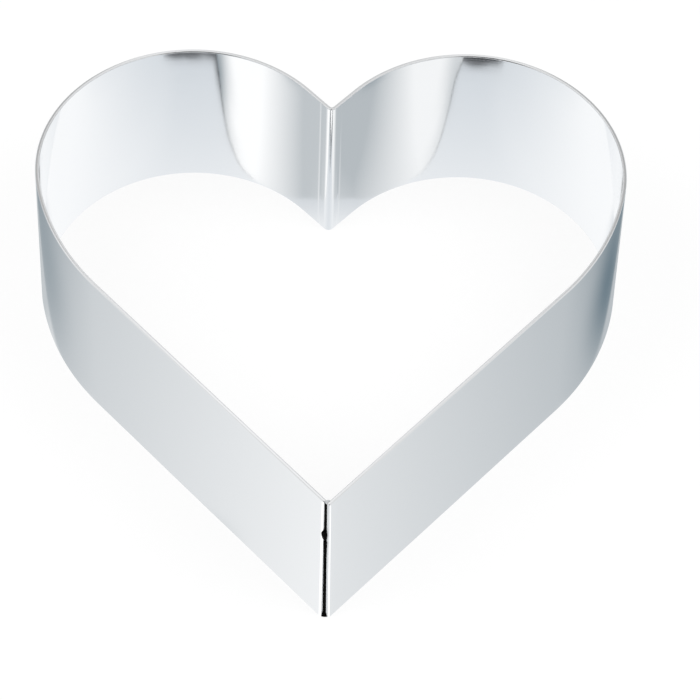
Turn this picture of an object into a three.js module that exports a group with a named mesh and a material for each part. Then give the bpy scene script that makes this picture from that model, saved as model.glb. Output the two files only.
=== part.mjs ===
// Heart cake ring: one strip of stainless steel, bent to a heart and welded shut at the tip.
// Millimetres, +Z up. The ring stands on its lower cut edge at z = 0, open at the top and below.
// The tip points to -Y, the notch lies at the back, and the heart is alike on both sides of x = 0.

import * as THREE from 'three';

// Strip
const STRIP_THICKNESS = 1.0;
const WALL_HEIGHT = 50;
const EDGE_BREAK = 0.12;

// Plan of the outer face: straight walls from the tip, a wide shoulder, a round lobe, a short flat
// and the fold at the notch. The straight walls take the length that closes the outline.
const TIP_ANGLE = 83;
const SHOULDER_RADIUS = 68;
const SHOULDER_SWEEP = 32;
const LOBE_RADIUS = 41;
const NOTCH_FLAT = 8.7;
const NOTCH_ANGLE = 84;
const NOTCH_BEND_RADIUS = 1.0;

// Tip seam: the strip's ends are cut square, so they stand apart as a groove that opens outwards.
const ROOT_GAP = 0.9;
const WELD_CLEARANCE = 0.05;
const ROOT_PENETRATION = 0.15;

// Weld deposits: how far each spreads past the root on either side, and how far it stands out of it.
const RUN_SPREAD = 0.07;
const RUN_REACH = 0.95;
const RUN_RIPPLE = 0.035;
const RIPPLE_PITCH = 1.6;
const RUN_TOP_SETBACK = 0.4;
const TACK_HEIGHT = 35.8;
const TACK_LENGTH = 5.0;
const TACK_SPREAD_LEFT = 0.5;
const TACK_SPREAD_RIGHT = 0.3;
const TACK_REACH = 1.35;
const FOOT_LENGTH = 2.6;
const FOOT_SPREAD_LEFT = 0.38;
const FOOT_SPREAD_RIGHT = 0.3;
const FOOT_REACH = 1.75;
const FOOT_LIFT = 0.1;

// Facets
const ARC_DIVISIONS = 16;
const FRONT_STEPS = 8;
const TACK_STEPS = 12;
const RIPPLE_STEPS = 4;

// Headings of the outer face at the tip, where shoulder meets lobe, and into the notch
const tipHeading = THREE.MathUtils.degToRad(90 - TIP_ANGLE / 2);
const lobeHeading = tipHeading + THREE.MathUtils.degToRad(SHOULDER_SWEEP);
const notchHeading = THREE.MathUtils.degToRad(270 - NOTCH_ANGLE / 2);

// Straight wall from the sharp corner where the two outer faces would meet at the tip
const curvedSpan = SHOULDER_RADIUS * (Math.sin(lobeHeading) - Math.sin(tipHeading))
  + LOBE_RADIUS * (Math.sin(notchHeading) - Math.sin(lobeHeading))
  + NOTCH_FLAT * Math.cos(notchHeading);
const wallToCorner = -curvedSpan / Math.cos(tipHeading);

// The square cut lies this far back from that corner, which leaves the root gap inside
const endSetback = (ROOT_GAP / 2 + STRIP_THICKNESS * Math.sin(tipHeading)) / Math.cos(tipHeading);
const endCorner = new THREE.Vector2(Math.cos(tipHeading), Math.sin(tipHeading)).multiplyScalar(endSetback);
const intoStrip = new THREE.Vector2(-Math.sin(tipHeading), Math.cos(tipHeading));
const rootCorner = endCorner.clone().addScaledVector(intoStrip, STRIP_THICKNESS);

// The origin is under the middle of the ring's box, from the weld's foot to the back of the lobes
const lobeBack = wallToCorner * Math.sin(tipHeading)
  + SHOULDER_RADIUS * (Math.cos(tipHeading) - Math.cos(lobeHeading))
  + LOBE_RADIUS * (Math.cos(lobeHeading) + 1);
const tipFront = Math.min(endCorner.y, rootCorner.y - FOOT_REACH);
const middle = (tipFront + lobeBack) / 2;

// One face of the strip as runs from the right end round to the left end, set in from the outer face.
// A bend to the left is positive. Its radius shrinks inwards, and the fold at the notch grows.
function faceRuns(setIn) {
  const foldTurn = Math.PI - THREE.MathUtils.degToRad(NOTCH_ANGLE);
  const foldTangent = NOTCH_BEND_RADIUS * Math.tan(foldTurn / 2);
  const half = [
    { length: wallToCorner - endSetback },
    { radius: SHOULDER_RADIUS - setIn, turn: lobeHeading - tipHeading },
    { radius: LOBE_RADIUS - setIn, turn: notchHeading - lobeHeading },
    { length: NOTCH_FLAT - foldTangent },
  ];
  const fold = { radius: NOTCH_BEND_RADIUS + setIn, turn: -foldTurn };
  return [...half, fold, ...half.toReversed()];
}

// Draws runs on from a point and a heading, as straight lines and true arcs
function trace(shape, start, startHeading, runs) {
  const at = start.clone();
  let heading = startHeading;
  for (const run of runs) {
    if (run.length !== undefined) {
      at.x += run.length * Math.cos(heading);
      at.y += run.length * Math.sin(heading);
      shape.lineTo(at.x, at.y);
      continue;
    }
    const side = Math.sign(run.turn);
    const toCentre = heading + side * Math.PI / 2;
    const centre = new THREE.Vector2(Math.cos(toCentre), Math.sin(toCentre)).multiplyScalar(run.radius).add(at);
    const from = toCentre + Math.PI;
    shape.absarc(centre.x, centre.y, run.radius, from, from + run.turn, side < 0);
    at.set(Math.cos(from + run.turn), Math.sin(from + run.turn)).multiplyScalar(run.radius).add(centre);
    heading += run.turn;
  }
}

// The strip: its plan outline runs along the outer face and back along the inner one, and is drawn up
// to the wall height with the cut edges broken all round
function heartBand() {
  const outline = new THREE.Shape();
  outline.moveTo(endCorner.x, endCorner.y);
  trace(outline, endCorner, tipHeading, faceRuns(0));
  const leftRoot = new THREE.Vector2(-rootCorner.x, rootCorner.y);
  outline.lineTo(leftRoot.x, leftRoot.y);
  const back = faceRuns(STRIP_THICKNESS).map((run) => (run.turn ? { ...run, turn: -run.turn } : run));
  trace(outline, leftRoot, Math.PI - tipHeading, back);
  outline.closePath();
  const geometry = new THREE.ExtrudeGeometry(outline, {
    depth: WALL_HEIGHT - 2 * EDGE_BREAK,
    curveSegments: ARC_DIVISIONS,
    bevelSize: EDGE_BREAK,
    bevelThickness: EDGE_BREAK,
    bevelOffset: -EDGE_BREAK,
    bevelSegments: 1,
  });
  return geometry.translate(0, 0, EDGE_BREAK);
}

// A closed loft through level rings of equal count, from the lowest to the highest
function loft(rings) {
  const count = rings[0].length;
  const points = rings.flat();
  const bottom = points.length;
  const top = bottom + 1;
  const index = [];
  for (let ring = 0; ring + 1 < rings.length; ring += 1) {
    for (let k = 0; k < count; k += 1) {
      const a = ring * count + k;
      const b = ring * count + (k + 1) % count;
      index.push(a, b, b + count, a, b + count, a + count);
    }
  }
  for (let k = 0; k < count; k += 1) {
    const next = (k + 1) % count;
    const last = bottom - count;
    index.push(bottom, next, k, top, last + k, last + next);
  }
  const centre = (ring) => ring.reduce((sum, p) => sum.add(p), new THREE.Vector3()).divideScalar(count);
  points.push(centre(rings[0]), centre(rings.at(-1)));
  const geometry = new THREE.BufferGeometry().setFromPoints(points);
  geometry.setIndex(index);
  geometry.computeVertexNormals();
  return geometry;
}

// Level section of a deposit: a stem through the root gap, its flanks along the square ends of the
// strip, and a round front that stands out of the groove
function weldRing(z, spreadLeft, spreadRight, reach) {
  const rootHalf = ROOT_GAP / 2 - WELD_CLEARANCE;
  const seat = (spread) => spread * intoStrip.y / -intoStrip.x;
  const at = (x, outwards) => new THREE.Vector3(x, rootCorner.y - outwards, z);
  const ring = [at(rootHalf, 0), at(rootHalf / 2, -ROOT_PENETRATION), at(-rootHalf / 2, -ROOT_PENETRATION)];
  ring.push(at(-rootHalf, 0));
  for (let k = 0; k <= FRONT_STEPS; k += 1) {
    const angle = Math.PI * (1 - k / FRONT_STEPS);
    const spread = Math.cos(angle) < 0 ? spreadLeft : spreadRight;
    const flank = seat(spread);
    ring.push(at((rootHalf + spread) * Math.cos(angle), flank + (reach - flank) * Math.sin(angle)));
  }
  return ring;
}

// A run of even weld with the low ripples that the pool leaves behind
function weldRun(zLow, zHigh) {
  const steps = Math.max(2, Math.round((zHigh - zLow) / RIPPLE_PITCH)) * RIPPLE_STEPS;
  const rings = [];
  for (let k = 0; k <= steps; k += 1) {
    const ripple = RUN_RIPPLE * Math.cos(2 * Math.PI * k / RIPPLE_STEPS);
    const z = THREE.MathUtils.lerp(zLow, zHigh, k / steps);
    rings.push(weldRing(z, RUN_SPREAD + ripple, RUN_SPREAD + ripple, RUN_REACH + ripple));
  }
  return loft(rings);
}

// A tack is a short lump: it swells from the run's section to its own and back, or on to its end
function weldTack(zLow, zHigh, spreadLeft, spreadRight, reach, swell) {
  const rings = [];
  for (let k = 0; k <= TACK_STEPS; k += 1) {
    const share = k / TACK_STEPS;
    const lump = swell(share);
    const mix = (from, to) => THREE.MathUtils.lerp(from, to, lump);
    const z = THREE.MathUtils.lerp(zLow, zHigh, share);
    rings.push(weldRing(z, mix(RUN_SPREAD, spreadLeft), mix(RUN_SPREAD, spreadRight), mix(RUN_REACH, reach)));
  }
  return loft(rings);
}

const tackLow = TACK_HEIGHT - TACK_LENGTH / 2;
const tackHigh = TACK_HEIGHT + TACK_LENGTH / 2;
const humped = (share) => Math.sin(Math.PI * share) ** 2;
const flared = (share) => Math.cos(Math.PI / 2 * share) ** 2;

const polishedSteel = new THREE.MeshStandardMaterial({ color: 0xd7dce0, metalness: 1, roughness: 0.12 });
const scaledWeld = new THREE.MeshStandardMaterial({ color: 0x1b1c1e, metalness: 0.6, roughness: 0.45 });

const pieces = [
  ['heart_band', heartBand(), polishedSteel],
  ['seam_foot_tack', weldTack(FOOT_LIFT, FOOT_LENGTH, FOOT_SPREAD_LEFT, FOOT_SPREAD_RIGHT, FOOT_REACH, flared),
    scaledWeld],
  ['seam_run_lower', weldRun(FOOT_LENGTH + WELD_CLEARANCE, tackLow - WELD_CLEARANCE), scaledWeld],
  ['seam_tack', weldTack(tackLow, tackHigh, TACK_SPREAD_LEFT, TACK_SPREAD_RIGHT, TACK_REACH, humped), scaledWeld],
  ['seam_run_upper', weldRun(tackHigh + WELD_CLEARANCE, WALL_HEIGHT - RUN_TOP_SETBACK), scaledWeld],
];

const ring = new THREE.Group();
ring.position.y = -middle;
for (const [name, geometry, material] of pieces) {
  const mesh = new THREE.Mesh(geometry, material);
  mesh.name = name;
  ring.add(mesh);
}

export default ring;
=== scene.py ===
"""Heart cake ring: the looks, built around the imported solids. Metres, +Z up, the tip points to -Y."""

import math

import bpy
from mathutils import Matrix, Vector, noise


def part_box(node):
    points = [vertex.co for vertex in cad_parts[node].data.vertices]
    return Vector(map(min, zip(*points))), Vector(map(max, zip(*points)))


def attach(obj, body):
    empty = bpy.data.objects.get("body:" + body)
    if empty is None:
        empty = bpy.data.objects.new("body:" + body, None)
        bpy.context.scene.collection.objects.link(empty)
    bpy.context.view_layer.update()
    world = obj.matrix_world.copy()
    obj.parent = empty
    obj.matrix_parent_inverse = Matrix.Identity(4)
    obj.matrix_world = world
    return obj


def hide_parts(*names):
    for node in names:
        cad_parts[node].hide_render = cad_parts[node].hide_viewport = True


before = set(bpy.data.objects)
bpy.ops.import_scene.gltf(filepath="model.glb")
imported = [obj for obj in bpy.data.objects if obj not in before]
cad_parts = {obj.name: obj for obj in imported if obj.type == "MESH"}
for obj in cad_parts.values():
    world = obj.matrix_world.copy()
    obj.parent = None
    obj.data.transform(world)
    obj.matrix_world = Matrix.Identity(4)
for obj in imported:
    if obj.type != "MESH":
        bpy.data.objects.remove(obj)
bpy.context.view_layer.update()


# Camera
# It stands in front of the tip and looks down on the ring at 52 degrees through a long lens.
# Place, turn and lens come from a fit of the ring's outline in the 700 x 700 photograph.
MM = 0.001
CAMERA_PLACE = (-10.879 * MM, -671.295 * MM, 875.250 * MM)
LOOK_RIGHT = math.radians(1.4204)
LOOK_DOWN = math.radians(51.982)
CAMERA_ROLL = math.radians(2.0695)
FOCAL_PIXELS = 4150.27
IMAGE_PIXELS = 700
SENSOR_WIDTH = 36.0
CAMERA_REACH = 50.0

scene = bpy.context.scene
scene.view_settings.view_transform = "Standard"
camera_data = bpy.data.cameras.new("photo_camera")
camera_data.sensor_width = SENSOR_WIDTH
camera_data.lens = FOCAL_PIXELS / IMAGE_PIXELS * SENSOR_WIDTH
camera_data.clip_end = CAMERA_REACH
camera = bpy.data.objects.new("photo_camera", camera_data)
camera.matrix_world = (
    Matrix.Translation(CAMERA_PLACE)
    @ Matrix.Rotation(-LOOK_RIGHT, 4, "Z")
    @ Matrix.Rotation(math.pi / 2 - LOOK_DOWN, 4, "X")
    @ Matrix.Rotation(CAMERA_ROLL, 4, "Z")
)
scene.collection.objects.link(camera)
scene.camera = camera


# Heart band
# One strip of bright polished stainless steel, 50 mm high and 1 mm thick, sheared to length and deburred.
# It is folded over a die at the notch and rolled from there to the lobes, shoulders and straight walls.
STRIP_THICKNESS = 1.0 * MM
WALL_HEIGHT = 50.0 * MM
RIM_ROUND = 0.28 * MM
END_ROUND = 0.10 * MM
LEFT_ROLLOVER = 0.9 * MM
RIGHT_ROLLOVER = 0.45 * MM
ROLLOVER_DEPTH = 0.30 * MM
ROLLOVER_STEPS = 8
FACE_ROWS = [0.30 * MM, 1.0 * MM, 4 * MM, 15 * MM, 25 * MM, 35 * MM, 46 * MM, 49 * MM, 49.70 * MM]
CORNER_STEPS = 6
RIM_DULL = 0.22
END_DULL = 1.0
TIP_ANGLE = math.radians(83)
SHOULDER_RADIUS = 68 * MM
SHOULDER_SWEEP = math.radians(32)
LOBE_RADIUS = 41 * MM
NOTCH_FLAT = 8.7 * MM
NOTCH_ANGLE = math.radians(84)
CREASE_RADIUS = 0.02 * MM
CREASE_TURN = math.radians(22.5)
EASE_RADIUS = 1.9 * MM
ROOT_GAP = 0.9 * MM
RIGHT_END_EXTRA = 0.38 * MM
RIGHT_END_LEAN = 0.85 * MM
LEFT_MARK_PLACE = 2.72 * MM
RIGHT_MARK_PLACE = 2.42 * MM
PRESS_MARK_WIDTH = 0.38 * MM
PRESS_MARK_DEPTH = 0.045 * MM

tip_heading = math.pi / 2 - TIP_ANGLE / 2
lobe_heading = tip_heading + SHOULDER_SWEEP
notch_heading = 1.5 * math.pi - NOTCH_ANGLE / 2
curved_span = (
    SHOULDER_RADIUS * (math.sin(lobe_heading) - math.sin(tip_heading))
    + LOBE_RADIUS * (math.sin(notch_heading) - math.sin(lobe_heading))
    + NOTCH_FLAT * math.cos(notch_heading)
)
wall_to_corner = -curved_span / math.cos(tip_heading)
end_setback = (ROOT_GAP / 2 + STRIP_THICKNESS * math.sin(tip_heading)) / math.cos(tip_heading)
half_fold = math.pi / 2 - NOTCH_ANGLE / 2
fold_half_width = (CREASE_RADIUS - EASE_RADIUS) * math.sin(CREASE_TURN) + EASE_RADIUS * math.sin(half_fold)

# Half of the outer face from the middle of the notch: what it is, length, turn to the left, divisions
bend_runs = [
    ("Crease", CREASE_RADIUS * CREASE_TURN, CREASE_TURN, 10),
    ("Ease", EASE_RADIUS * (half_fold - CREASE_TURN), half_fold - CREASE_TURN, 12),
    ("Flat", NOTCH_FLAT - fold_half_width / math.cos(half_fold), 0.0, 64),
    ("Lobe", LOBE_RADIUS * (notch_heading - lobe_heading), lobe_heading - notch_heading, 160),
    ("Shoulder", SHOULDER_RADIUS * (lobe_heading - tip_heading), tip_heading - lobe_heading, 40),
    ("Wall", wall_to_corner - end_setback, 0.0, 48),
]


# The right end was cut long and a little out of square: how far it reaches past the left one's match
def right_end_extra(up):
    return RIGHT_END_EXTRA + RIGHT_END_LEAN * up / WALL_HEIGHT


# How far a corner that is rounded off over a length stands back, at a distance from the end
def rounded_off(from_end, length, depth):
    share = max(0.0, 1 - from_end / length)
    return depth * (1 - math.sqrt(1 - share ** 2))


# Section of the strip, in from the outer face and up: two faces and the rounded rims between them.
# The third value is how dull the surface is: a polished face, or a deburred rim.
def strip_section(rolled, inset):
    outer, inner = rolled, STRIP_THICKNESS - inset
    low, high = inset + RIM_ROUND, WALL_HEIGHT - inset - RIM_ROUND
    corners = [(outer + RIM_ROUND, high, 180), (inner - RIM_ROUND, high, 90)]
    corners += [(inner - RIM_ROUND, low, 0), (outer + RIM_ROUND, low, -90)]
    loop = []
    for across, up, start in corners:
        for k in range(CORNER_STEPS + 1):
            angle = math.radians(start - 90 * k / CORNER_STEPS)
            loop.append((across + RIM_ROUND * math.cos(angle), up + RIM_ROUND * math.sin(angle), RIM_DULL))
        if start == 90:
            loop += [(inner, row, 0.0) for row in reversed(FACE_ROWS)]
    return loop + [(outer, row, 0.0) for row in FACE_ROWS]


# The flat blank: x along the strip from the middle of the notch, y in from the outer face, z up
stations = [0.0]
for _, length, _, divisions in bend_runs:
    begin = stations[-1]
    stations += [begin + length * (k + 1) / divisions for k in range(divisions)]
half_length = stations.pop()
turns = [math.pi / 2 * k / ROLLOVER_STEPS for k in range(ROLLOVER_STEPS + 1)]
left_stations = stations[1:] + [half_length - LEFT_ROLLOVER * (1 - math.sin(turn)) for turn in turns]
right_stations = stations + [half_length - RIGHT_ROLLOVER * (1 - math.sin(turn)) for turn in turns]
stations = [-s for s in reversed(left_stations)] + right_stations

vertices, cut_edge = [], []
for along in stations:
    rollover = RIGHT_ROLLOVER if along > 0 else LEFT_ROLLOVER
    from_end = half_length - abs(along)
    rolled = rounded_off(from_end, rollover, ROLLOVER_DEPTH)
    inset = rounded_off(from_end, END_ROUND, END_ROUND)
    from_mark = abs(along) - (RIGHT_MARK_PLACE if along > 0 else LEFT_MARK_PLACE)
    mark = PRESS_MARK_DEPTH * math.exp(-((from_mark / PRESS_MARK_WIDTH) ** 2))
    for across, up, edge in strip_section(rolled, inset):
        pressed = mark if across > STRIP_THICKNESS / 2 else 0.0
        extra = right_end_extra(up) if along > half_length - 2 * rollover else 0.0
        vertices.append((along + extra, across - pressed, up))
        cut_edge.append(END_DULL if from_end == 0 else edge)
around = len(strip_section(0.0, 0.0))
faces = []
for ring in range(len(stations) - 1):
    for k in range(around):
        a, b = ring * around + k, ring * around + (k + 1) % around
        faces.append((a, a + around, b + around, b))
last_ring = (len(stations) - 1) * around
faces.append(tuple(range(around)))
faces.append(tuple(reversed(range(last_ring, last_ring + around))))

blank = bpy.data.meshes.new("heart_band_strip")
blank.from_pydata(vertices, [], faces)
blank.polygons.foreach_set("use_smooth", [True] * (len(faces) - 2) + [False] * 2)
blank.attributes.new("cut_edge", "FLOAT", "POINT").data.foreach_set("value", cut_edge)
band = bpy.data.objects.new("heart_band_strip", blank)
scene.collection.objects.link(band)


# Adds a node to a tree. Settings go on the node, and each input gets a value or a link from a socket.
def add_node(tree, kind, settings=None, **inputs):
    node = tree.nodes.new(kind)
    for name, value in (settings or {}).items():
        setattr(node, name, value)
    for name, value in inputs.items():
        key = int(name[1:]) if name[1:].isdigit() else name.replace("_", " ")
        if isinstance(value, bpy.types.NodeSocket):
            tree.links.new(value, node.inputs[key])
        else:
            node.inputs[key].default_value = value
    return node


# Turns an sRGB hex colour to linear
def linear(hex_colour):
    channels = [int(hex_colour[k:k + 2], 16) / 255 for k in (1, 3, 5)]
    return tuple(c / 12.92 if c <= 0.04045 else ((c + 0.055) / 1.055) ** 2.4 for c in channels) + (1.0,)


# A material with an empty node tree
def bare_material(name):
    material = bpy.data.materials.new(name)
    material.use_nodes = True
    material.node_tree.nodes.clear()
    return material


# One run of the bend: a length that is straight or turns evenly, as a chord from where it starts
run_tree = bpy.data.node_groups.new("bent_run", "GeometryNodeTree")
for name in ("Distance", "Start", "Length", "Turn", "Heading"):
    run_tree.interface.new_socket(name, in_out="INPUT", socket_type="NodeSocketFloat")
run_tree.interface.new_socket("Offset", in_out="OUTPUT", socket_type="NodeSocketVector")
run_tree.interface.new_socket("Turned", in_out="OUTPUT", socket_type="NodeSocketFloat")
run = run_tree.nodes.new("NodeGroupInput").outputs
MATH = "ShaderNodeMath"
past = add_node(run_tree, MATH, {"operation": "SUBTRACT"}, _0=run["Distance"], _1=run["Start"])
fed = add_node(run_tree, "ShaderNodeClamp", Value=past.outputs[0], Min=0.0, Max=run["Length"])
share = add_node(run_tree, MATH, {"operation": "DIVIDE"}, _0=fed.outputs[0], _1=run["Length"])
turned = add_node(run_tree, MATH, {"operation": "MULTIPLY"}, _0=share.outputs[0], _1=run["Turn"])
half = add_node(run_tree, MATH, {"operation": "MULTIPLY"}, _0=turned.outputs[0], _1=0.5)
size = add_node(run_tree, MATH, {"operation": "ABSOLUTE"}, _0=half.outputs[0])
angle = add_node(run_tree, MATH, {"operation": "MAXIMUM"}, _0=size.outputs[0], _1=1e-5)
sine = add_node(run_tree, MATH, {"operation": "SINE"}, _0=angle.outputs[0])
ratio = add_node(run_tree, MATH, {"operation": "DIVIDE"}, _0=sine.outputs[0], _1=angle.outputs[0])
chord = add_node(run_tree, MATH, {"operation": "MULTIPLY"}, _0=fed.outputs[0], _1=ratio.outputs[0])
way = add_node(run_tree, MATH, {"operation": "ADD"}, _0=run["Heading"], _1=half.outputs[0])
way_x = add_node(run_tree, MATH, {"operation": "COSINE"}, _0=way.outputs[0])
way_y = add_node(run_tree, MATH, {"operation": "SINE"}, _0=way.outputs[0])
unit = add_node(run_tree, "ShaderNodeCombineXYZ", X=way_x.outputs[0], Y=way_y.outputs[0])
offset = add_node(run_tree, "ShaderNodeVectorMath", {"operation": "SCALE"},
                  _0=unit.outputs[0], Scale=chord.outputs[0])
add_node(run_tree, "NodeGroupOutput", Offset=offset.outputs[0], Turned=turned.outputs[0])

# The whole bend: the runs follow one another on both sides of the notch
bend_tree = bpy.data.node_groups.new("bend_strip", "GeometryNodeTree")
bend_tree.interface.new_socket("Geometry", in_out="INPUT", socket_type="NodeSocketGeometry")
for name, *_ in bend_runs:
    bend_tree.interface.new_socket(name + " length", in_out="INPUT", socket_type="NodeSocketFloat")
    bend_tree.interface.new_socket(name + " turn", in_out="INPUT", socket_type="NodeSocketFloat")
bend_tree.interface.new_socket("Notch place", in_out="INPUT", socket_type="NodeSocketFloat")
bend_tree.interface.new_socket("Finish", in_out="INPUT", socket_type="NodeSocketMaterial")
bend_tree.interface.new_socket("Geometry", in_out="OUTPUT", socket_type="NodeSocketGeometry")
bend = bend_tree.nodes.new("NodeGroupInput").outputs
place = add_node(bend_tree, "GeometryNodeInputPosition")
flat = add_node(bend_tree, "ShaderNodeSeparateXYZ", _0=place.outputs[0])
distance = add_node(bend_tree, MATH, {"operation": "ABSOLUTE"}, _0=flat.outputs["X"])
side = add_node(bend_tree, MATH, {"operation": "SIGN"}, _0=flat.outputs["X"])
start, heading = 0.0, 0.0
spot = add_node(bend_tree, "ShaderNodeCombineXYZ", Y=bend["Notch place"]).outputs[0]
for name, *_ in bend_runs:
    step = add_node(bend_tree, "GeometryNodeGroup", {"node_tree": run_tree}, Distance=distance.outputs[0],
                    Start=start, Length=bend[name + " length"], Turn=bend[name + " turn"], Heading=heading)
    spot = add_node(bend_tree, "ShaderNodeVectorMath", {"operation": "ADD"},
                    _0=spot, _1=step.outputs["Offset"]).outputs[0]
    start = add_node(bend_tree, MATH, {"operation": "ADD"}, _0=start, _1=bend[name + " length"]).outputs[0]
    heading = add_node(bend_tree, MATH, {"operation": "ADD"},
                       _0=heading, _1=step.outputs["Turned"]).outputs[0]
inward_x = add_node(bend_tree, MATH, {"operation": "SINE"}, _0=heading)
inward_y = add_node(bend_tree, MATH, {"operation": "COSINE"}, _0=heading)
outward = add_node(bend_tree, MATH, {"operation": "MULTIPLY"}, _0=inward_y.outputs[0], _1=-1.0)
inward = add_node(bend_tree, "ShaderNodeCombineXYZ", X=inward_x.outputs[0], Y=outward.outputs[0])
in_set = add_node(bend_tree, "ShaderNodeVectorMath", {"operation": "SCALE"},
                  _0=inward.outputs[0], Scale=flat.outputs["Y"])
bent = add_node(bend_tree, "ShaderNodeVectorMath", {"operation": "ADD"}, _0=spot, _1=in_set.outputs[0])
bent_parts = add_node(bend_tree, "ShaderNodeSeparateXYZ", _0=bent.outputs[0])
sided = add_node(bend_tree, MATH, {"operation": "MULTIPLY"}, _0=bent_parts.outputs["X"], _1=side.outputs[0])
target = add_node(bend_tree, "ShaderNodeCombineXYZ", X=sided.outputs[0], Y=bent_parts.outputs["Y"],
                  Z=flat.outputs["Z"])
moved = add_node(bend_tree, "GeometryNodeSetPosition", Geometry=bend["Geometry"], Position=target.outputs[0])
real = add_node(bend_tree, "GeometryNodeRealizeInstances", Geometry=moved.outputs[0])
finished = add_node(bend_tree, "GeometryNodeSetMaterial", Geometry=real.outputs[0], Material=bend["Finish"])
add_node(bend_tree, "NodeGroupOutput", Geometry=finished.outputs[0])

# Bright polished stainless sheet: a mirror with a faint haze, fine rolling lines along the strip, slight
# upright waves from the bending, a few duller patches from handling, and cut edges that were only deburred
ROLLING_LINE = 0.5 * MM
ROLLING_LENGTH = 60 * MM
WAVE_LENGTH = 9 * MM
WAVE_RUN = 300 * MM
WAVE_HEIGHT = 0.010 * MM
HANDLING_PATCH = 14 * MM
FACE_HAZE = (0.06, 0.085)
HANDLING_HAZE = 0.025
CUT_ROUGHNESS = 0.60
LINE_RELIEF = 0.001 * MM
STEEL_COLOUR = "#f7f8f9"
EDGE_COLOUR = "#eef0f2"
MAP_RANGE = "ShaderNodeMapRange"

steel = bare_material("polished_stainless_steel")
tree = steel.node_tree
coords = add_node(tree, "ShaderNodeTexCoord")
lines_at = add_node(tree, "ShaderNodeMapping", Vector=coords.outputs["Object"],
                    Scale=(1 / ROLLING_LENGTH, 1 / ROLLING_LENGTH, 1 / ROLLING_LINE))
lines = add_node(tree, "ShaderNodeTexNoise", Vector=lines_at.outputs[0], Scale=1.0, Detail=3.0)
patches = add_node(tree, "ShaderNodeTexNoise", Vector=coords.outputs["Object"],
                   Scale=1 / HANDLING_PATCH, Detail=4.0)
edge = add_node(tree, "ShaderNodeAttribute", {"attribute_name": "cut_edge"})
haze = add_node(tree, MAP_RANGE, Value=lines.outputs[0], From_Min=0.3, From_Max=0.7,
                To_Min=FACE_HAZE[0], To_Max=FACE_HAZE[1])
dulled = add_node(tree, MAP_RANGE, Value=patches.outputs[0], From_Min=0.45, From_Max=0.75,
                  To_Min=0.0, To_Max=HANDLING_HAZE)
rough_face = add_node(tree, MATH, {"operation": "ADD"}, _0=haze.outputs[0], _1=dulled.outputs[0])
rough = add_node(tree, "ShaderNodeMix", {"data_type": "FLOAT"}, Factor=edge.outputs["Fac"],
                 _2=rough_face.outputs[0], _3=CUT_ROUGHNESS)
tone = add_node(tree, "ShaderNodeMix", {"data_type": "RGBA"}, Factor=edge.outputs["Fac"],
                _6=linear(STEEL_COLOUR), _7=linear(EDGE_COLOUR))
waves_at = add_node(tree, "ShaderNodeMapping", Vector=coords.outputs["Object"],
                    Scale=(1 / WAVE_LENGTH, 1 / WAVE_LENGTH, 1 / WAVE_RUN))
waves = add_node(tree, "ShaderNodeTexNoise", Vector=waves_at.outputs[0], Scale=1.0, Detail=1.0)
bowed = add_node(tree, "ShaderNodeBump", Strength=1.0, Distance=WAVE_HEIGHT, Height=waves.outputs[0])
relief = add_node(tree, "ShaderNodeBump", Strength=0.4, Distance=LINE_RELIEF, Height=lines.outputs[0],
                  Normal=bowed.outputs[0])
metal = add_node(tree, "ShaderNodeBsdfPrincipled", Base_Color=tone.outputs[2], Metallic=1.0,
                 Roughness=rough.outputs[0], Normal=relief.outputs[0])
add_node(tree, "ShaderNodeOutputMaterial", Surface=metal.outputs[0])


# Runs a tree on an object with its inputs set by name, and leaves a plain mesh
def apply_tree(piece, tree, values):
    modifier = piece.modifiers.new(tree.name, "NODES")
    modifier.node_group = tree
    sockets = [s for s in tree.interface.items_tree if s.item_type == "SOCKET" and s.in_out == "INPUT"]
    for socket in sockets:
        if socket.name in values:
            modifier[socket.identifier] = values[socket.name]
    depsgraph = bpy.context.evaluated_depsgraph_get()
    shaped = bpy.data.meshes.new_from_object(
        piece.evaluated_get(depsgraph), preserve_all_data_layers=True, depsgraph=depsgraph)
    piece.modifiers.remove(modifier)
    piece.data = shaped


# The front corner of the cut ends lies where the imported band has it
fed_heading, fed_y = 0.0, 0.0
bend_values = {"Finish": steel}
for name, length, turn, _ in bend_runs:
    half_turn = max(abs(turn / 2), 1e-9)
    fed_y += length * math.sin(half_turn) / half_turn * math.sin(fed_heading + turn / 2)
    fed_heading += turn
    bend_values[name + " length"] = length
    bend_values[name + " turn"] = turn
bend_values["Wall length"] += right_end_extra(WALL_HEIGHT)
band_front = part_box("heart_band")[0].y
bend_values["Notch place"] = band_front - fed_y
apply_tree(band, bend_tree, bend_values)
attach(band, "root")
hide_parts("heart_band")


# Tip weld
# Four deposits of weld metal that close the groove between the cut ends: a tack high on the seam, one at
# the foot, and a run to either side of the upper tack. They were left unground under black scale.
WELD_CLEARANCE = 0.05 * MM
ROOT_PENETRATION = 0.15 * MM
FOOT_CLIMB = 0.26 * MM
RIM_CLIMB = 0.65 * MM
RUN_CROWN = 0.06 * MM
RUN_TOP_SETBACK = 0.1 * MM
RIPPLE_PITCH = 0.8 * MM
RIPPLE_HEIGHT = 0.03 * MM
WELD_STEP = 0.1 * MM
FEWEST_STEPS = 6
FRONT_STEPS = 20
WANDER = 0.04 * MM
WANDER_LENGTH = 2.2 * MM

wall_way = Vector((math.cos(tip_heading), math.sin(tip_heading)))
flank_way = Vector((math.sin(tip_heading), -math.cos(tip_heading)))
root_y = band_front + STRIP_THICKNESS * math.cos(tip_heading)
root_half = ROOT_GAP / 2 - WELD_CLEARANCE

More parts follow.
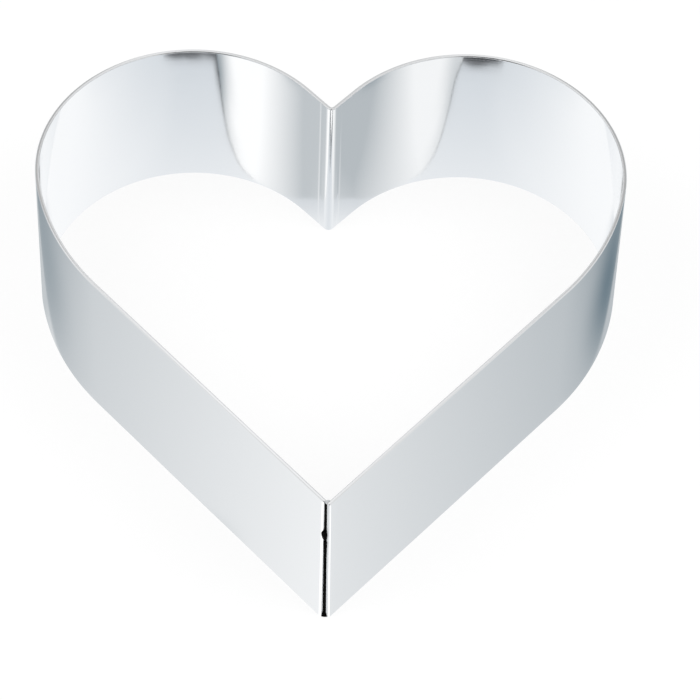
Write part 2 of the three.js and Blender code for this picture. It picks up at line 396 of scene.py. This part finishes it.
# Each deposit: node, how far its lump climbs the left and right cut end, how far it stands out, its swell
deposits = [
    ("seam_tack", 1.05 * MM, 0.25 * MM, 0.42 * MM, lambda share: math.sin(math.pi * share ** 1.4)),
    ("seam_foot_tack", 0.42 * MM, 0.42 * MM, 0.03 * MM, lambda share: math.cos(math.pi / 2 * share) ** 2),
    ("seam_run_lower", 0.22 * MM, 0.30 * MM, 0.05 * MM, lambda share: share ** 5),
    ("seam_run_upper", 0.0, 0.0, 0.0, lambda share: 0.0),
]

# Weld metal under black oxide scale: dark, rough and granular, a little paler where the crust is thin.
# It is bare at the very top, where it was dressed flush with the rim.
SCALE_GRAIN = 0.18 * MM
SCALE_COLOUR = "#030303"
CROWN_COLOUR = "#0a0a0b"
DRESSED_FROM = 49.5 * MM
DRESSED_COLOUR = "#d9dcdf"
DRESSED_ROUGHNESS = 0.35
SCALE_ROUGHNESS = (0.55, 0.75)
SCALE_GLOSS = 0.02
GRAIN_RELIEF = 0.03 * MM
CRUST_PATCH = 4 * SCALE_GRAIN

scale = bare_material("black_weld_scale")
tree = scale.node_tree
coords = add_node(tree, "ShaderNodeTexCoord")
grain = add_node(tree, "ShaderNodeTexNoise", Vector=coords.outputs["Object"],
                 Scale=1 / SCALE_GRAIN, Detail=4.0)
crust = add_node(tree, "ShaderNodeTexNoise", Vector=coords.outputs["Object"],
                 Scale=1 / CRUST_PATCH, Detail=2.0)
tone = add_node(tree, MAP_RANGE, Value=crust.outputs[0], From_Min=0.5, From_Max=0.75)
skin = add_node(tree, "ShaderNodeMix", {"data_type": "RGBA"}, Factor=tone.outputs[0],
                _6=linear(SCALE_COLOUR), _7=linear(CROWN_COLOUR))
rough = add_node(tree, MAP_RANGE, Value=grain.outputs[0], From_Min=0.3, From_Max=0.7,
                 To_Min=SCALE_ROUGHNESS[0], To_Max=SCALE_ROUGHNESS[1])
relief = add_node(tree, "ShaderNodeBump", Strength=0.6, Distance=GRAIN_RELIEF, Height=grain.outputs[0])
black = add_node(tree, "ShaderNodeBsdfPrincipled", Base_Color=skin.outputs[2], Specular_IOR_Level=SCALE_GLOSS,
                 Roughness=rough.outputs[0], Normal=relief.outputs[0])
bare = add_node(tree, "ShaderNodeBsdfPrincipled", Base_Color=linear(DRESSED_COLOUR), Metallic=1.0,
                Roughness=DRESSED_ROUGHNESS)
height = add_node(tree, "ShaderNodeSeparateXYZ", _0=coords.outputs["Object"])
dressed = add_node(tree, MATH, {"operation": "GREATER_THAN"}, _0=height.outputs["Z"], _1=DRESSED_FROM)
metal = add_node(tree, "ShaderNodeMixShader", _0=dressed.outputs[0], _1=black.outputs[0], _2=bare.outputs[0])
add_node(tree, "ShaderNodeOutputMaterial", Surface=metal.outputs[0])


# Level section of a deposit: a stem in the root gap, and a low round front from one cut end to the other.
# A lump that climbs past the left end's corner lies on over the wall.
def weld_ring(z, climb_left, climb_right, crown):
    ring = [(root_half, root_y, z), (root_half / 2, root_y + ROOT_PENETRATION, z)]
    ring += [(-root_half / 2, root_y + ROOT_PENETRATION, z), (-root_half, root_y, z)]
    on_flank = min(climb_left, STRIP_THICKNESS + WELD_CLEARANCE)
    left = Vector((-root_half - flank_way.x * on_flank, root_y + flank_way.y * on_flank))
    left += Vector((-wall_way.x, wall_way.y)) * (climb_left - on_flank)
    right = Vector((root_half, root_y)) - wall_way * right_end_extra(z) + flank_way * climb_right
    for k in range(FRONT_STEPS + 1):
        share = k / FRONT_STEPS
        front = left.lerp(right, share)
        ring.append((front.x, front.y - crown * math.sin(math.pi * share), z))
    return ring


for node, lump_left, lump_right, lump_crown, swell in deposits:
    low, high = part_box(node)
    if node == "seam_run_upper":
        high.z = WALL_HEIGHT - RUN_TOP_SETBACK
    steps = max(FEWEST_STEPS, round((high.z - low.z) / WELD_STEP))
    rings = []
    for k in range(steps + 1):
        z = low.z + (high.z - low.z) * k / steps
        lump = swell(k / steps)
        ripple = RIPPLE_HEIGHT * abs(math.sin(math.pi * z / RIPPLE_PITCH))
        wander = WANDER * noise.noise(Vector((0.0, 0.0, z / WANDER_LENGTH)))
        rise = FOOT_CLIMB + (RIM_CLIMB - FOOT_CLIMB) * z / WALL_HEIGHT
        climb_left = rise + lump_left * lump + ripple - wander
        climb_right = lump_right * lump + ripple + wander
        crown = RUN_CROWN + lump_crown * lump + ripple
        rings.append(weld_ring(z, max(climb_left, 0.0), max(climb_right, 0.0), crown))
    count = len(rings[0])
    vertices = [p for ring in rings for p in ring]
    faces = []
    for ring in range(steps):
        for k in range(count):
            a, b = ring * count + k, ring * count + (k + 1) % count
            faces.append((a, b, b + count, a + count))
    faces.append(tuple(reversed(range(count))))
    faces.append(tuple(range(steps * count, (steps + 1) * count)))
    mesh = bpy.data.meshes.new(node + "_bead")
    mesh.from_pydata(vertices, [], faces)
    mesh.polygons.foreach_set("use_smooth", [True] * (len(faces) - 2) + [False] * 2)
    mesh.materials.append(scale)
    bead = bpy.data.objects.new(node + "_bead", mesh)
    scene.collection.objects.link(bead)
    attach(bead, "root")
    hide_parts(node)


# Floor
# A plain white matt sheet that keeps the ring's soft shadow. The mirror-bright walls look straight down
# through it, as on a glass table, to the cards that lie below.
FLOOR_HALF = 6.0
FLOOR_HEIGHT = -0.02 * MM
FLOOR_GLOW = 0.875
FLOOR_COLOUR = "#6a6a6a"
WHITE = "#ffffff"


# A flat stage panel from its corners
def stage_panel(name, corners, material):
    mesh = bpy.data.meshes.new(name)
    mesh.from_pydata(corners, [], [tuple(range(len(corners)))])
    mesh.materials.append(material)
    panel = bpy.data.objects.new(name, mesh)
    scene.collection.objects.link(panel)
    return panel


# The corners of a level panel as wide as the floor, at a height
def wide_corners(z):
    return [(x * FLOOR_HALF, y * FLOOR_HALF, z) for x, y in ((-1, -1), (1, -1), (1, 1), (-1, 1))]


sheet = bare_material("white_matt_sheet")
tree = sheet.node_tree
ray = add_node(tree, "ShaderNodeLightPath")
matt = add_node(tree, "ShaderNodeBsdfDiffuse", Color=linear(FLOOR_COLOUR))
glow = add_node(tree, "ShaderNodeEmission", Color=linear(WHITE), Strength=FLOOR_GLOW)
seen = add_node(tree, "ShaderNodeAddShader", _0=matt.outputs[0], _1=glow.outputs[0])
clear = add_node(tree, "ShaderNodeBsdfTransparent")
both = add_node(tree, "ShaderNodeMixShader", _0=ray.outputs["Is Glossy Ray"], _1=seen.outputs[0],
                _2=clear.outputs[0])
add_node(tree, "ShaderNodeOutputMaterial", Surface=both.outputs[0])
stage_panel("floor", wide_corners(FLOOR_HEIGHT), sheet)


# Painted reflections under the floor
# Glowing white cards lie under the heart and to either side, with a grey one of painted shade between them in
# front. Further down a pale board carries a dark sheet of painted shade.
# Only the steel sees them: their tones are painted light and shade for it to mirror, and it shows the gaps as
# painted dark shadow lines and blots.
CARD_DEPTH = -52 * MM
SHEET_DEPTH = -80 * MM
BOARD_DEPTH = -81 * MM
DARK_COLOUR = "#1f2024"
PALE_COLOUR = "#eceef0"
GREY_COLOUR = "#c6cbcf"
CARD_SHADE = "#8a959c"
CENTRE_SHADE = "#d4d9de"
CENTRE_CORNER_SHADE = "#d3d7db"
CARD_STRENGTH = 1.075
SMOOTH = {"interpolation_type": "SMOOTHSTEP"}


# A glowing card or board of one even tone
def even_card(name, colour):
    material = bare_material(name)
    tree = material.node_tree
    glow = add_node(tree, "ShaderNodeEmission", Color=linear(colour), Strength=1.0)
    add_node(tree, "ShaderNodeOutputMaterial", Surface=glow.outputs[0])
    return material


# The dark sheet is painted shade: through the gaps between the cards the steel shows it as painted dark
# shadow lines and blots
board = even_card("painted_shade_sheet", DARK_COLOUR)

# The centre card is painted reflection: it whitens towards the back as painted light, and painted shade makes
# it a little darker off its middle, at its back corners and in front beside the two dark lines. Each stretch
# is where the change starts and where it ends.
WHITENS = (-35 * MM, 85 * MM)
WHITENED = 0.8
OFF_MIDDLE = (14 * MM, 28 * MM)
OFF_MIDDLE_ENDS = (48 * MM, 68 * MM)
OFF_MIDDLE_DIM = 0.07
BACK_CORNER_X = (38 * MM, 56 * MM)
BACK_CORNER_Y = (38 * MM, 66 * MM)
BY_LEFT_LINE = (-52.8 * MM, -56.3 * MM)
BY_LEFT_DIM = 0.56
BY_RIGHT_LINE = (47 * MM, 51 * MM)
BY_RIGHT_DIM = 0.12
BY_LINE_ENDS = (16 * MM, -12 * MM)

# Painted light and shade on a glowing card, for the steel to mirror
centre_painted_reflection = bare_material("centre_painted_reflection")
tree = centre_painted_reflection.node_tree
coords = add_node(tree, "ShaderNodeTexCoord")
at = add_node(tree, "ShaderNodeSeparateXYZ", _0=coords.outputs["Object"])
back = add_node(tree, MAP_RANGE, SMOOTH, Value=at.outputs["Y"], From_Min=WHITENS[0], From_Max=WHITENS[1],
                To_Min=0.0, To_Max=WHITENED)
aside = add_node(tree, MATH, {"operation": "ABSOLUTE"}, _0=at.outputs["X"])
off_middle = add_node(tree, MAP_RANGE, SMOOTH, Value=aside.outputs[0], From_Min=OFF_MIDDLE[0],
                      From_Max=OFF_MIDDLE[1], To_Min=0.0, To_Max=OFF_MIDDLE_DIM)
in_front = add_node(tree, MAP_RANGE, SMOOTH, Value=at.outputs["Y"], From_Min=OFF_MIDDLE_ENDS[0],
                    From_Max=OFF_MIDDLE_ENDS[1], To_Min=1.0, To_Max=0.0)
dimmed = add_node(tree, MATH, {"operation": "MULTIPLY"}, _0=off_middle.outputs[0], _1=in_front.outputs[0])
lit = add_node(tree, MATH, {"operation": "SUBTRACT"}, _0=back.outputs[0], _1=dimmed.outputs[0])
corner_x = add_node(tree, MAP_RANGE, SMOOTH, Value=aside.outputs[0], From_Min=BACK_CORNER_X[0],
                    From_Max=BACK_CORNER_X[1])
corner_y = add_node(tree, MAP_RANGE, SMOOTH, Value=at.outputs["Y"], From_Min=BACK_CORNER_Y[0],
                    From_Max=BACK_CORNER_Y[1])
corner = add_node(tree, MATH, {"operation": "MULTIPLY"}, _0=corner_x.outputs[0], _1=corner_y.outputs[0])
bright = add_node(tree, "ShaderNodeMix", {"data_type": "RGBA"}, Factor=lit.outputs[0],
                  _6=linear(CENTRE_SHADE), _7=linear(WHITE))
tone = add_node(tree, "ShaderNodeMix", {"data_type": "RGBA"}, Factor=corner.outputs[0],
                _6=bright.outputs[2], _7=linear(CENTRE_CORNER_SHADE))
# Painted shade: the glow is dimmed in front beside the two dark lines
by_left = add_node(tree, MAP_RANGE, Value=at.outputs["X"], From_Min=BY_LEFT_LINE[0],
                   From_Max=BY_LEFT_LINE[1], To_Min=0.0, To_Max=BY_LEFT_DIM)
by_right = add_node(tree, MAP_RANGE, Value=at.outputs["X"], From_Min=BY_RIGHT_LINE[0],
                    From_Max=BY_RIGHT_LINE[1], To_Min=0.0, To_Max=BY_RIGHT_DIM)
by_line = add_node(tree, MATH, {"operation": "ADD"}, _0=by_left.outputs[0], _1=by_right.outputs[0])
at_front = add_node(tree, MAP_RANGE, SMOOTH, Value=at.outputs["Y"], From_Min=BY_LINE_ENDS[0],
                    From_Max=BY_LINE_ENDS[1], To_Min=0.0, To_Max=-CARD_STRENGTH)
strength = add_node(tree, MATH, {"operation": "MULTIPLY_ADD"}, _0=by_line.outputs[0],
                    _1=at_front.outputs[0], _2=CARD_STRENGTH)
glow = add_node(tree, "ShaderNodeEmission", Color=tone.outputs[2], Strength=strength.outputs[0])
add_node(tree, "ShaderNodeOutputMaterial", Surface=glow.outputs[0])

# What the side cards have in common, all painted light and shade for the steel to mirror: the outer zone and
# the painted dark valley in it, the even light far away, the painted dark corner by the heart, the painted
# soft shade along the dark line and the painted bright stretch ahead of the tip
FADE_FROM_MIDDLE = 20 * MM
OUTER_LENGTH = (-70 * MM, 110 * MM)
OUTER_STARTS = (98 * MM, 101.5 * MM)
OUTER_SLANT = -0.9
OUTER_SLANT_STARTS = (84 * MM, 98 * MM)
VALLEY_X = 112 * MM
VALLEY_Y = 62 * MM
VALLEY_WIDTH = 27 * MM
VALLEY_LENGTH = 42 * MM
FAR_STARTS = (0.20, 0.45)
FAR_LIGHT = 0.75
CORNER_Y = -15 * MM
CORNER_WIDTH = 15.7 * MM
CORNER_LENGTH = 34.5 * MM
SOFT_EDGE_FRONT = (-18 * MM, 4 * MM)
SOFT_EDGE_BACK = (36 * MM, 16 * MM)
SOFT_EDGE_WIDTH = 5 * MM
AHEAD_SIDES = (62 * MM, 95 * MM)
AHEAD_STARTS = (-73 * MM, -84 * MM)
AHEAD_ENDS = (-138 * MM, -112 * MM)
AHEAD_LIGHT = 1.2


# A side card of painted reflection: its light beside the heart and behind it, where that fade starts and ends
# on the middle line and how much sooner further out, its light far out at the front and back, its painted
# dark corner and its painted dark valley,
# and the dark line: where it is, how much it leans and how much painted shade dims the card's soft edge
def side_painted_reflection(name, beside, behind, fade_from, fade_to, far_out, dark_corner, valley_dark, line):
    material = bare_material(name)
    tree = material.node_tree
    coords = add_node(tree, "ShaderNodeTexCoord")
    at = add_node(tree, "ShaderNodeSeparateXYZ", _0=coords.outputs["Object"])
    aside = add_node(tree, MATH, {"operation": "ABSOLUTE"}, _0=at.outputs["X"])
    off_middle = add_node(tree, MATH, {"operation": "MAXIMUM"}, _0=aside.outputs[0], _1=FADE_FROM_MIDDLE)
    fade_at = add_node(tree, MATH, {"operation": "MULTIPLY_ADD"}, _0=off_middle.outputs[0],
                       _1=-fade_from[1], _2=fade_from[0])
    fade_by = add_node(tree, MATH, {"operation": "MULTIPLY_ADD"}, _0=aside.outputs[0], _1=-fade_to[1],
                       _2=fade_to[0])
    near = add_node(tree, MAP_RANGE, Value=at.outputs["Y"], From_Min=fade_at.outputs[0],
                    From_Max=fade_by.outputs[0], To_Min=beside, To_Max=behind)
    wide = add_node(tree, MAP_RANGE, Value=at.outputs["Y"], From_Min=OUTER_LENGTH[0],
                    From_Max=OUTER_LENGTH[1], To_Min=far_out[0], To_Max=far_out[1])
    # Painted shade: a dark valley in the outer zone
    from_valley = add_node(tree, "ShaderNodeCombineXYZ", X=aside.outputs[0], Y=at.outputs["Y"])
    in_valley = add_node(tree, "ShaderNodeMapping", Vector=from_valley.outputs[0],
                         Location=(-VALLEY_X / VALLEY_WIDTH, -VALLEY_Y / VALLEY_LENGTH, 0),
                         Scale=(1 / VALLEY_WIDTH, 1 / VALLEY_LENGTH, 0))
    valley_reach = add_node(tree, "ShaderNodeVectorMath", {"operation": "LENGTH"}, _0=in_valley.outputs[0])
    valley = add_node(tree, MAP_RANGE, SMOOTH, Value=valley_reach.outputs["Value"], To_Min=valley_dark,
                      To_Max=0.0)
    outer = add_node(tree, MATH, {"operation": "SUBTRACT"}, _0=wide.outputs[0], _1=valley.outputs[0])
    wide_x = add_node(tree, MAP_RANGE, SMOOTH, Value=aside.outputs[0], From_Min=OUTER_STARTS[0],
                      From_Max=OUTER_STARTS[1])
    askew = add_node(tree, MATH, {"operation": "MULTIPLY_ADD"}, _0=at.outputs["Y"], _1=OUTER_SLANT,
                     _2=aside.outputs[0])
    wide_y = add_node(tree, MAP_RANGE, SMOOTH, Value=askew.outputs[0], From_Min=OUTER_SLANT_STARTS[0],
                      From_Max=OUTER_SLANT_STARTS[1])
    zone = add_node(tree, MATH, {"operation": "MAXIMUM"}, _0=wide_x.outputs[0], _1=wide_y.outputs[0])
    lit = add_node(tree, "ShaderNodeMix", {"data_type": "FLOAT"}, Factor=zone.outputs[0],
                   _2=near.outputs[0], _3=outer.outputs[0])
    out = add_node(tree, "ShaderNodeVectorMath", {"operation": "LENGTH"}, _0=coords.outputs["Object"])
    far = add_node(tree, MAP_RANGE, SMOOTH, Value=out.outputs["Value"], From_Min=FAR_STARTS[0],
                   From_Max=FAR_STARTS[1])
    level = add_node(tree, "ShaderNodeMix", {"data_type": "FLOAT"}, Factor=far.outputs[0],
                     _2=lit.outputs[0], _3=FAR_LIGHT)
    # Painted shade: a dark corner by the heart
    from_corner = add_node(tree, "ShaderNodeMapping", Vector=coords.outputs["Object"],
                           Location=(-dark_corner[0] / CORNER_WIDTH, -CORNER_Y / CORNER_LENGTH, 0),
                           Scale=(1 / CORNER_WIDTH, 1 / CORNER_LENGTH, 0))
    reach = add_node(tree, "ShaderNodeVectorMath", {"operation": "LENGTH"}, _0=from_corner.outputs[0])
    dimmed = add_node(tree, MAP_RANGE, SMOOTH, Value=reach.outputs["Value"], To_Min=dark_corner[1],
                      To_Max=0.0)
    shaded = add_node(tree, MATH, {"operation": "SUBTRACT"}, _0=level.outputs[0], _1=dimmed.outputs[0])
    # Painted shade: the card's soft edge is dimmed along the dark line
    from_front = add_node(tree, MAP_RANGE, SMOOTH, Value=at.outputs["Y"], From_Min=SOFT_EDGE_FRONT[0],
                          From_Max=SOFT_EDGE_FRONT[1], To_Min=0.0, To_Max=line[2])
    to_back = add_node(tree, MAP_RANGE, SMOOTH, Value=at.outputs["Y"], From_Min=SOFT_EDGE_BACK[0],
                       From_Max=SOFT_EDGE_BACK[1], To_Min=0.0, To_Max=from_front.outputs[0])
    off_line = add_node(tree, MATH, {"operation": "MULTIPLY_ADD"}, _0=at.outputs["Y"], _1=line[1],
                        _2=aside.outputs[0])
    by_line = add_node(tree, MAP_RANGE, Value=off_line.outputs[0], From_Min=line[0],
                       From_Max=line[0] + SOFT_EDGE_WIDTH, To_Min=to_back.outputs[0], To_Max=0.0)
    softened = add_node(tree, MATH, {"operation": "SUBTRACT"}, _0=shaded.outputs[0], _1=by_line.outputs[0])
    # Painted light: a bright stretch ahead of the tip
    inwards = add_node(tree, MAP_RANGE, SMOOTH, Value=aside.outputs[0], From_Min=AHEAD_SIDES[0],
                       From_Max=AHEAD_SIDES[1], To_Min=1.0, To_Max=0.0)
    ahead = add_node(tree, MAP_RANGE, SMOOTH, Value=at.outputs["Y"], From_Min=AHEAD_STARTS[0],
                     From_Max=AHEAD_STARTS[1], To_Min=0.0, To_Max=inwards.outputs[0])
    ahead_of_tip = add_node(tree, MAP_RANGE, SMOOTH, Value=at.outputs["Y"], From_Min=AHEAD_ENDS[0],
                            From_Max=AHEAD_ENDS[1], To_Min=0.0, To_Max=ahead.outputs[0])
    left_over = add_node(tree, "ShaderNodeMix", {"data_type": "FLOAT"}, Factor=ahead_of_tip.outputs[0],
                         _2=softened.outputs[0], _3=AHEAD_LIGHT)
    tone = add_node(tree, "ShaderNodeMix", {"data_type": "RGBA", "clamp_factor": False},
                    Factor=left_over.outputs[0], _6=linear(CARD_SHADE), _7=linear(WHITE))
    glow = add_node(tree, "ShaderNodeEmission", Color=tone.outputs[2], Strength=CARD_STRENGTH)
    add_node(tree, "ShaderNodeOutputMaterial", Surface=glow.outputs[0])
    return material


left_painted_reflection = side_painted_reflection(
    "left_painted_reflection", beside=1.0, behind=0.36, fade_from=(73 * MM, 0.62), fade_to=(64 * MM, 0.0),
    far_out=(0.82, 0.0), dark_corner=(-57 * MM, 0.91), valley_dark=0.10, line=(56.8 * MM, 0.13, 0.31))
right_painted_reflection = side_painted_reflection(
    "right_painted_reflection", beside=0.87, behind=0.28, fade_from=(75 * MM, 0.80), fade_to=(101 * MM, 0.53),
    far_out=(0.67, -0.11), dark_corner=(51 * MM, 0.35), valley_dark=0.22, line=(51.5 * MM, 0.0, 0.20))
pale_board = even_card("pale_board", PALE_COLOUR)
# The grey card between the white ones in front is painted shade, a shaded copy of the centre card
painted_shade_card = even_card("painted_shade_card", GREY_COLOUR)

# Corners of the cards and of the dark sheet, in millimetres
FAR = 6000
SIDE_FRONT = -26
centre_corners = [
    (-56.5, -4), (-56.65, -13), (-46, -15.6), (-28, -15.3), (-9, -11.4), (9, -11), (22, -13.9), (40, -14.8),
    (45.4, -15.4), (47.6, -13.4), (49.3, -10.6), (50.8, -6), (51, -2), (51.2, 24), (52, 32), (53.9, 39),
    (55.2, 46), (55.2, FAR), (-55, FAR), (-55, 48), (-53.8, 40), (-53, 32), (-53.55, 20)]
left_corners = [
    (-57.9, -21), (-57.4, -4), (-54, 20), (-53.2, 32), (-53.9, 40), (-55, 48), (-55, FAR), (-FAR, FAR),
    (-FAR, -FAR), (0, -FAR), (0, SIDE_FRONT), (-57.9, SIDE_FRONT)]
right_corners = [
    (51.42, -2), (51.3, -6), (49.95, -10.8), (48.2, -14), (46.6, -16), (46.6, SIDE_FRONT), (0, SIDE_FRONT),
    (0, -FAR), (FAR, -FAR), (FAR, FAR), (55.2, FAR), (55.2, 46), (53.9, 39), (52.1, 32), (51.4, 24)]
middle_corners = [(-24, SIDE_FRONT), (22, SIDE_FRONT), (9, -11), (-9, -11.4)]
dark_corners = [(-70, -48), (62, -48), (70, 23), (61, 23), (53, -30), (-61, -30), (-63, 24), (-71, 24)]


# Hides a stage panel from all but mirrors
def only_in_mirrors(panel):
    panel.visible_camera = False
    panel.visible_diffuse = False
    panel.visible_shadow = False


only_in_mirrors(stage_panel("pale_board", wide_corners(BOARD_DEPTH), pale_board))
cards = [
    ("painted_shade_sheet", dark_corners, SHEET_DEPTH, board),
    ("centre_painted_reflection", centre_corners, CARD_DEPTH, centre_painted_reflection),
    ("left_painted_reflection", left_corners, CARD_DEPTH, left_painted_reflection),
    ("right_painted_reflection", right_corners, CARD_DEPTH, right_painted_reflection),
    ("middle_painted_shade", middle_corners, CARD_DEPTH, painted_shade_card),
]
for name, corners, depth, material in cards:
    only_in_mirrors(stage_panel(name, [(x * MM, y * MM, depth) for x, y in corners], material))


# Painted reflections behind and in front
# A glowing pale board stands behind the ring, made greyer at its sides and in the middle by painted shade,
# and a dark one far in front is painted shade.
# Only the rim sees them: its flat looks up and back, and the round of the lobes' inner edge looks forward.
BACK_PLACE = 200 * MM
BACK_SIDES = (-0.5, 0.5)
BACK_HEIGHTS = (0.13, 0.60)
FRONT_PLACE = -300 * MM
FRONT_SIDES = (-230 * MM, 105 * MM)
FRONT_HEIGHTS = (20 * MM, 2.4)
MIDDLE_ENDS = (20 * MM, 44 * MM)
MIDDLE_LIGHT = 0.64
SIDE_STARTS = (62 * MM, 84 * MM)
SIDE_LIGHT = 0.42
FOOT_LIGHT = 0.86
TOP_TURNS = (-30 * MM, 30 * MM)
TOP_LIGHT = (1.04, 0.86)
TOP_STARTS = (270 * MM, 400 * MM)

# Painted light and shade on a glowing board, for the rim to mirror
back_painted_reflection = bare_material("back_painted_shade_board")
tree = back_painted_reflection.node_tree
coords = add_node(tree, "ShaderNodeTexCoord")
at = add_node(tree, "ShaderNodeSeparateXYZ", _0=coords.outputs["Object"])
aside = add_node(tree, MATH, {"operation": "ABSOLUTE"}, _0=at.outputs["X"])
middle = add_node(tree, MAP_RANGE, SMOOTH, Value=aside.outputs[0], From_Min=MIDDLE_ENDS[0],
                  From_Max=MIDDLE_ENDS[1], To_Min=MIDDLE_LIGHT, To_Max=FOOT_LIGHT)
foot = add_node(tree, MAP_RANGE, SMOOTH, Value=aside.outputs[0], From_Min=SIDE_STARTS[0],
                From_Max=SIDE_STARTS[1], To_Min=middle.outputs[0], To_Max=SIDE_LIGHT)
top = add_node(tree, MAP_RANGE, SMOOTH, Value=at.outputs["X"], From_Min=TOP_TURNS[0], From_Max=TOP_TURNS[1],
               To_Min=TOP_LIGHT[0], To_Max=TOP_LIGHT[1])
light = add_node(tree, MAP_RANGE, SMOOTH, Value=at.outputs["Z"], From_Min=TOP_STARTS[0],
                 From_Max=TOP_STARTS[1], To_Min=foot.outputs[0], To_Max=top.outputs[0])
glow = add_node(tree, "ShaderNodeEmission", Color=linear(WHITE), Strength=light.outputs[0])
add_node(tree, "ShaderNodeOutputMaterial", Surface=glow.outputs[0])

# The dark board in front is painted shade that only mirrors see
uprights = [
    ("back_painted_reflection", BACK_SIDES, BACK_PLACE, BACK_HEIGHTS, back_painted_reflection),
    ("front_painted_shade", FRONT_SIDES, FRONT_PLACE, FRONT_HEIGHTS, board),
]
for name, (left, right), y, (low, high), material in uprights:
    corners = [(left, y, low), (right, y, low), (right, y, high), (left, y, high)]
    only_in_mirrors(stage_panel(name, corners, material))


# Studio light
# Two soft boxes to the left and right, and a white surround that the steel mirrors as pale grey.
# Together they light a white card to about white.
BOX_SIZE = 0.7
BOX_DISTANCE = 1.2
BOX_HEIGHT = math.radians(55)
BOX_FORWARD = -0.2
BOX_POWER = 5.5
SURROUND_LIGHT = 0.45
MIRRORED_LIGHT = 0.76
SEEN_LIGHT = 1.0

for sign in (-1, 1):
    lamp_data = bpy.data.lights.new("soft_box", "AREA")
    lamp_data.size = BOX_SIZE
    lamp_data.energy = BOX_POWER
    lamp = bpy.data.objects.new("soft_box", lamp_data)
    toward = Vector((sign * math.cos(BOX_HEIGHT), BOX_FORWARD, math.sin(BOX_HEIGHT))).normalized()
    lamp.location = toward * BOX_DISTANCE
    lamp.rotation_euler = toward.to_track_quat("Z", "Y").to_euler()
    lamp.visible_glossy = False
    scene.collection.objects.link(lamp)

surround = bpy.data.worlds.new("white_surround")
scene.world = surround
surround.use_nodes = True
tree = surround.node_tree
tree.nodes.clear()
ray = add_node(tree, "ShaderNodeLightPath")
lit = add_node(tree, "ShaderNodeMix", {"data_type": "FLOAT"}, Factor=ray.outputs["Is Glossy Ray"],
               _2=SURROUND_LIGHT, _3=MIRRORED_LIGHT)
strength = add_node(tree, "ShaderNodeMix", {"data_type": "FLOAT"}, Factor=ray.outputs["Is Camera Ray"],
                    _2=lit.outputs[0], _3=SEEN_LIGHT)
sky = add_node(tree, "ShaderNodeBackground", Color=linear(WHITE), Strength=strength.outputs[0])
add_node(tree, "ShaderNodeOutputWorld", Surface=sky.outputs[0])
